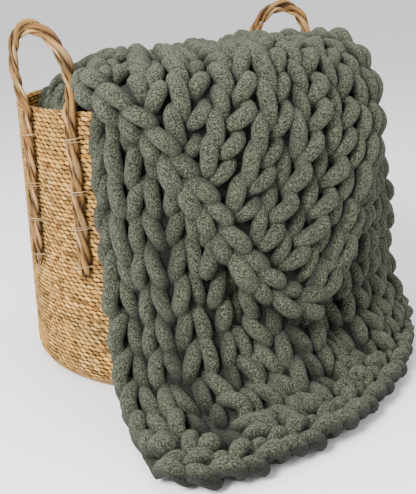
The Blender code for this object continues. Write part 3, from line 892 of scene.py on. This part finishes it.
def underside(mat):
    """Flat base with shallow rings of its weave."""
    verts, uvs, tones = [], [], []
    for k, r in enumerate(np.linspace(BASKET_RADIUS - BASKET_BASE_ROUND + 0.002, 0.006, UNDERSIDE_RINGS)):
        # Painted shade: the sunken rings are darker than the flat ones.
        z, tone = (0.0, 0.55) if k % 2 else (RING_DEPTH, 0.15)
        for i in range(UNDERSIDE_SIDES):
            a = 2 * math.pi * i / UNDERSIDE_SIDES
            verts.append((r * math.sin(a), -r * math.cos(a), z))
            uvs.append((i * 0.01, r))
            tones.append(tone)
    faces = ring_faces(UNDERSIDE_RINGS, UNDERSIDE_SIDES)[:, [0, 3, 2, 1]].tolist()
    faces.append([len(verts) - 1 - i for i in range(UNDERSIDE_SIDES)])
    return mesh_piece("basket_underside", verts, faces, mat, tones, uvs)


def rope_frame(swing):
    """Centre line of a handle with its outward and sideways directions and its running length.
    Sideways points away from the middle of the loop."""
    place, height = handle_path().T
    seat = BASKET_RADIUS + ROPE_RADIUS * (1 + ROPE_LOBE) + SEAT_GAP
    lean = np.clip(height - BASKET_HEIGHT, 0.0, None) / HANDLE_LOOP_HEIGHT
    angle = swing + np.degrees(np.arcsin(place / seat))
    centre = smooth_line(around(angle, seat + HANDLE_LOOP_LEAN * lean, height), 3)
    along = unit(np.gradient(centre, axis=0))
    side = unit(np.cross(along, smooth_line(around(angle, 1.0, 0.0), 3)))
    out = np.cross(side, along)
    middle = around(swing, BASKET_RADIUS, HANDLE_FOOT_HEIGHT)
    if ((centre[0] - middle) * side[0]).sum() < 0:
        side = -side
    return centre, out, side, running_length(centre)


def rope_handle(name, swing, mat, seed):
    """A rope of two strands, with a thinner and paler pair of strands laid along its inner side."""
    draw = np.random.default_rng(seed)
    centre, out, side, run = rope_frame(swing)
    tubes = Tubes()
    fade = np.clip(np.minimum(run, run[-1] - run) / ROPE_END, END_SHARE, 1.0)
    for place, reach, radius, full_turn, tone, start in STRANDS:
        slow, wobble, stray = (
            height * np.sin(run * rate + draw.uniform(0, 6))
            for height, rate in (TURN_WAVE, RADIUS_WAVE, STRAY_WAVE)
        )
        turn = math.tau * run / full_turn + start + slow
        wobble = 1 + wobble * np.sin(run * RADIUS_BEAT)
        core = centre + (place + stray)[:, None] * side - STRANDS_IN * out
        line = core + reach * (np.cos(turn)[:, None] * side + 0.85 * np.sin(turn)[:, None] * out)
        tubes.add(line, radius * wobble * fade, out, STRAND_SIDES, tone=tone, groove=GROOVE_DEPTH,
                  twist=GROOVE_TWIST, core=core, reach=reach)
    return tubes.piece(name, mat)


def lashings(mat):
    """Turns of thin twine that bind both legs of each handle to the weave."""
    draw = np.random.default_rng(35)
    tubes = Tubes()
    turn = np.linspace(-0.25, math.pi + 0.25, 15)
    across = TWINE_HALF_WIDTH * np.cos(turn)
    away = TWINE_OUT * np.sin(turn) - TWINE_IN
    for swing in HANDLE_SWINGS.values():
        centre, out, side, _ = rope_frame(swing)
        half = len(centre) // 2
        for leg in (slice(0, half), slice(half, None)):
            points, outs, sides = centre[leg], out[leg], side[leg]
            for height in LASHING_HEIGHTS:
                k = int(np.argmin(np.abs(points[:, 2] - height) + (points[:, 2] > BASKET_HEIGHT)))
                for step in TWINE_STEPS:
                    lean = draw.uniform(-0.0022, 0.0022)
                    line = points[k] + across[:, None] * sides[k] + away[:, None] * outs[k]
                    line[:, 2] += step + lean * np.cos(turn) + height - points[k][2]
                    tubes.add(line, TWINE_RADIUS, outs[k], 6, tone=float(draw.uniform(0.4, 0.9)))
    return tubes.piece("twine_lashings", mat)


# -------- knitted yarn

def flap_skew(u, v):
    """Loops of the folded-back corner lean to the left at its middle and to the right at its selvedge."""
    return 0.10 * ramp(u, 0.80, 0.95) - 0.42 * bump(u, 0.60, 0.17) * bump(v, 2.55, 0.42)


def course_end(selvedge, inward, base, length):
    """Where a course's yarn ends at a selvedge: u, v, front, girth."""
    return np.array([
        (selvedge + 0.10 * inward / WALES, base - 0.80 * length, -0.0010, 0.86),
        (selvedge, base - 0.42 * length, 0.0030, 1.0),
        (selvedge + 0.02 * inward / WALES, base - 0.10 * length, 0.0, 0.98),
    ])


def knit_courses(name, start, end, courses, mat, seed, skew=None, straight=0.0):
    """Courses of interlocked loops from one v to another. Each course is one run of yarn from selvedge to
    selvedge, and its loops open towards the hem. skew(u, v) leans the loops sideways, and straight draws
    their legs parallel."""
    draw = np.random.default_rng(seed)
    half = np.array(HALF_LOOP)
    across_shape, along_shape, front_shape, girth_shape = np.concatenate([half, half[-2::-1] * MIRROR]).T
    legs = np.where(np.abs(across_shape) < LEGS_WITHIN, straight * (LEG_PLACE - np.abs(across_shape)), 0.0)
    legs = legs * np.sign(across_shape)
    inset = SELVEDGE_INSET / WALES
    length = (end - start) / courses
    tubes = Tubes()
    for base in start + length * (np.arange(courses) + 1):
        rows = []
        for w in range(WALES):
            centre = (w + 0.5) / WALES
            size, shift, slip, lean, roll, lift = (draw.normal(0, spread) for spread in LOOP_DRAWS.values())
            skewed = skew(centre, base) if skew else 0.0
            shift += LOOP_WAVES["shift"] * wave(centre, base, 7)
            lean += LOOP_WAVES["lean"] * wave(centre, base, 3) + skewed
            roll += LOOP_WAVES["roll"] * wave(centre, base * 0.6, 5) + SKEW_ROLL * skewed
            along = along_shape * (1.0 + size)
            across = across_shape + legs + shift + lean * (along - 0.5)
            rolled = front_shape + (np.abs(across) < ROLLS_WITHIN) * math.sin(roll) * across * WALE_PITCH
            v = base - (along + slip) * length
            loop = np.stack([centre + across / WALES, v, rolled + lift, girth_shape], -1)
            rows.append(loop if w == WALES - 1 else loop[:-1])
        left = course_end(inset, 1, base, length)
        right = course_end(1 - inset, -1, base, length)
        path = smooth_line(np.concatenate([left, np.concatenate(rows)[1:-1], right[::-1]]), LOOP_STEPS)
        u, v, front, girth = path.T
        spacing = read_grid(SPACING, np.clip(u, 0, 1), np.clip(v, 0, 3))[..., 0]
        fit = np.clip(spacing / WALE_PITCH, *YARN_FIT)
        on_wall = ramp(1.0 - v, 0.0, 0.4)
        valley = pleat_depth(u, GATHER) * on_wall
        ridge = np.minimum(pleat_depth(u, LOW), 0.0) * on_wall
        hollow = HOLLOW_DEPTH * bump(u, *HOLLOW_ACROSS) * bump(v, *HOLLOW_ALONG)
        # placed moves the yarn; shaded sets its painted shade, darker in the pleats' valleys, on their ridges
        # and in the hollow.
        placed, shaded = (
            front * fit - in_valley * valley + on_ridge * ridge - in_hollow * hollow
            for in_valley, on_ridge, in_hollow in YARN_SINKS
        )
        line, facing = on_cloth(u, v, placed)
        radius = YARN_RADIUS * girth * fit * (1 + LOOP_WAVES["girth"] * wave(u * 3, v * 3, 9))
        rest_on_floor(line, radius)
        tubes.add(line, radius, facing, YARN_SIDES, squash=YARN_SQUASH, front=shaded)
    return tubes.piece(name, mat)


def chain(name, start, end, points, stitches, spread, radius, proud, seed, mat):
    """Chain of loops worked along an edge. proud is how far it stands out."""
    draw = np.random.default_rng(seed)
    u, v = np.linspace(start, end, points).T
    line, facing = on_cloth(u, v, np.full(points, proud))
    run = running_length(line)
    along = unit(np.gradient(line, axis=0))
    across = np.cross(facing, along)
    pitch = run[-1] / stitches
    half = np.array(HALF_CHAIN)
    shape = np.concatenate([half, half[:0:-1] * MIRROR])
    sideways, ahead, front, girth = smooth_line(shape, 3).T
    tubes = Tubes()
    for k in range(stitches):
        size = 1 + draw.normal(0, CHAIN_SIZES)
        lift = front + draw.normal(0, CHAIN_TILTS) * sideways
        distance = (k + ahead * size) * pitch
        middle, out, forward, level = (
            np.stack([np.interp(distance, run, axis) for axis in field.T], -1)
            for field in (line, facing, along, across)
        )
        past = (distance - np.clip(distance, 0, run[-1]))[:, None]
        yarn = middle + forward * past + level * (sideways * spread)[:, None] + out * lift[:, None]
        thick = radius * girth * size
        rest_on_floor(yarn, thick)
        # The chain's yarn gets painted shade as if it lay a little deeper.
        tubes.add(yarn, thick, out, YARN_SIDES, front=lift - CHAIN_SHADE_DEPTH)
    return tubes.piece(name, mat)


def bunched_loops(mat):
    """Big slack loops where the folded-back layer bunches up over the rim at the left."""
    draw = np.random.default_rng(57)
    tubes = Tubes()
    share = BUNCH_SHARES
    taper = (1 - share**4 * 0.86) ** 0.5
    # Height for the painted shade: the loops' ends are painted darker.
    front = 0.012 - 0.010 * share**2
    for row in range(BUNCH_ROWS):
        for k in range(BUNCH_LOOPS):
            across = (k + 0.5 * (row % 2)) / (BUNCH_LOOPS - 0.5)
            u = np.interp(across, (0, 1), BUNCH_ACROSS) + 0.01 * np.array([-1.0, 0.0, 1.0])
            v = np.full(3, np.interp(row / (BUNCH_ROWS - 1), (0, 1), BUNCH_ALONG))
            places, facings = on_cloth(u, v, np.full(3, BUNCH_FRONT))
            place, out = places[1], facings[1]
            level = places[2] - places[0]
            level = unit(level - out * (level @ out))
            turn = math.radians(BUNCH_FAN * (1 - 2 * across) + draw.normal(0, BUNCH_UNEVEN))
            way = math.cos(turn) * level + math.sin(turn) * np.cross(out, level)
            half = BUNCH_HALF_LENGTH * draw.uniform(*BUNCH_LENGTHS)
            bow = (BUNCH_BOW * (1 - 2 * share**2))[:, None]
            line = place + way * (half * share)[:, None] + np.cross(out, way) * bow
            line = line - out * (BUNCH_ENDS_IN * share**2)[:, None]
            radius = BUNCH_RADIUS * draw.uniform(*BUNCH_GIRTHS) * taper
            tubes.add(line, radius, np.broadcast_to(out, line.shape), BUNCH_SIDES, front=front)
    return tubes.piece("bunched_loops", mat)


def hem_knobs(mat):
    """The round turn of yarn in which each wale ends above the hem's chain."""
    draw = np.random.default_rng(54)
    tubes = Tubes()
    place = np.linspace(-1.0, 1.0, 9)
    taper = np.sqrt(1 - (KNOB_REACH * place) ** 2 * 0.94) ** 0.8
    front = np.interp(place, (-1, 0, 1), KNOB_FRONT)
    for w in range(WALES):
        across, along, lean, size = (draw.normal(0, spread) for spread in KNOB_DRAWS.values())
        u = (w + 0.5 + across + lean * place) / WALES
        v = KNOB_ALONG + along + np.interp(place, (-1, 0, 1), KNOB_SPAN)
        line, facing = on_cloth(u, v, front)
        thick = KNOB_RADIUS * (1 + size) * taper
        rest_on_floor(line, thick)
        # The knob's yarn gets painted shade as if it lay deeper.
        tubes.add(line, thick, facing, KNOB_SIDES, front=front - KNOB_SHADE_DEPTH)
    return tubes.piece("hem_knobs", mat)


def web(mat):
    """A thin closed sheet on the middle of the cloth, behind the yarn, painted dark as shade in the gaps
    between the loops.
    """
    u, v = np.meshgrid(np.linspace(0.0, 1.0, 61), np.linspace(0.0, 3.0, 151), indexing="ij")
    middle = read_grid(DRAPE, u, v)
    normal = read_grid(DRAPE_NORMAL, u, v)
    verts = []
    for facing, lowest in ((0.5, 0.002), (-0.5, 0.0)):
        side = middle + normal * facing * WEB_THICKNESS
        side[..., 2] = np.maximum(side[..., 2], lowest)
        verts.append(side.reshape(-1, 3))
    count = u.size
    index = np.arange(count).reshape(u.shape)
    top = np.stack([index[:-1, :-1], index[1:, :-1], index[1:, 1:], index[:-1, 1:]], -1).reshape(-1, 4)
    edge = np.concatenate([index[:, 0], index[-1, 1:], index[-2::-1, -1], index[0, -2:0:-1]])
    after = np.roll(edge, -1)
    sides = np.stack([after, edge, edge + count, after + count], -1)
    faces = top.tolist() + (top[:, ::-1] + count).tolist() + sides.tolist()
    return mesh_piece("blanket_web", np.concatenate(verts), faces, mat, np.full(2 * count, WEB_SHADE_TONE))


# -------- the scene

chenille = chenille_material()
weave = straw_material(
    "twined_seagrass", light=(0.36, 0.195, 0.050), dark=(0.030, 0.012, 0.003), pale=(0.54, 0.335, 0.11),
    stretch=(160.0, 900.0, 1.0), depth=0.0006, chips=True,
)
rope = straw_material(
    "laid_seagrass_rope", light=(0.235, 0.128, 0.044), dark=(0.022, 0.010, 0.003), pale=(0.46, 0.31, 0.15),
    stretch=(26.0, 17.0, 1.0), depth=0.0020,
)
twine = straw_material(
    "pale_twine", light=(0.32, 0.22, 0.12), dark=(0.14, 0.085, 0.040), pale=(0.45, 0.34, 0.21),
    stretch=(90.0, 6.0, 1.0), depth=0.0003,
)

columns = int(round(2 * math.pi * BASKET_RADIUS / CHIP_WIDTH))
outside = lattice("basket_weave", wall_profile(), columns, CHIP_DEPTH, weave, 21)
inside = lattice("basket_weave_inside", inside_profile(), columns, CHIP_DEPTH, weave, 22)
under = underside(weave)
for piece in (outside, inside, under):
    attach(piece, "root")
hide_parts("basket_body")

for node, swing in HANDLE_SWINGS.items():
    made = rope_handle(node + "_rope", swing, rope, 31)
    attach(made, "root")
    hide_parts(node)

lower = knit_courses("yarn_lower_layer", HEM_BAND, 1.0, COURSES_LOWER, chenille, 41, straight=0.25)
within = knit_courses("yarn_inside", 1.0, 2.0, INSIDE_LOOPS, chenille, 42)
upper = knit_courses("yarn_upper_layer", 2.0, 3.0 - EDGE_BAND, COURSES_UPPER, chenille, 43, skew=flap_skew)
hem, flap, side = (chain(*edge, chenille) for edge in CHAINS)
bunch = bunched_loops(chenille)
knobs = hem_knobs(chenille)
lash = lashings(twine)
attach(lash, "root")
yarn = [lower, within, upper, hem, flap, side, knobs, bunch]
base = web(chenille)
for piece in yarn + [base]:
    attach(piece, "root")
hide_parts("blanket")


# -------- floor, light and camera

def floor():
    """The pale floor, just under the part."""
    shader = Shader("pale_floor")
    shader.fill(shader.surface, {"Base Color": (0.86, 0.86, 0.86, 1), "Roughness": 0.9})
    corners = [(x * FLOOR_HALF, y * FLOOR_HALF, 0) for x, y in ((-1, -1), (1, -1), (1, 1), (-1, 1))]
    obj = mesh_piece("floor", corners, [(0, 1, 2, 3)], shader.mat, np.zeros(4))
    obj.location.z = FLOOR_HEIGHT


def studio():
    """Floor, square soft lights that point at the basket's middle, and a pale surrounding."""
    floor()
    for name, place, size, power, colour in LIGHTS:
        light = bpy.data.lights.new(name, "AREA")
        light.energy = power
        light.size = size
        light.color = colour
        obj = bpy.data.objects.new(name, light)
        obj.location = place
        aim = Vector(LIGHT_TARGET) - Vector(place)
        obj.rotation_euler = aim.to_track_quat("-Z", "Y").to_euler()
        bpy.context.scene.collection.objects.link(obj)
    world = bpy.data.worlds.new("studio")
    world.use_nodes = True
    sky = world.node_tree.nodes["Background"].inputs
    sky["Color"].default_value = SKY_COLOUR
    sky["Strength"].default_value = SKY_STRENGTH
    bpy.context.scene.world = world


def photo_camera():
    """Camera at the photo's viewing place: distance and height in metres, and angles in degrees."""
    distance, height, pan, tilt, roll = 1.4393, 0.5681, 1.568, 16.337, -2.402
    focal_px, image_height = 926.3, 494.0
    data = bpy.data.cameras.new("photo_camera")
    data.sensor_fit = "AUTO"
    data.sensor_width = 36.0
    data.lens = focal_px * data.sensor_width / image_height
    data.clip_start = 0.05
    data.clip_end = 60.0
    obj = bpy.data.objects.new("photo_camera", data)
    place = Matrix.Translation((0.0, -distance, height))
    for angle, axis in ((-pan, "Z"), (90.0 - tilt, "X"), (roll, "Z")):
        place = place @ Matrix.Rotation(math.radians(angle), 4, axis)
    obj.matrix_world = place
    bpy.context.scene.collection.objects.link(obj)
    bpy.context.scene.camera = obj


studio()
photo_camera()
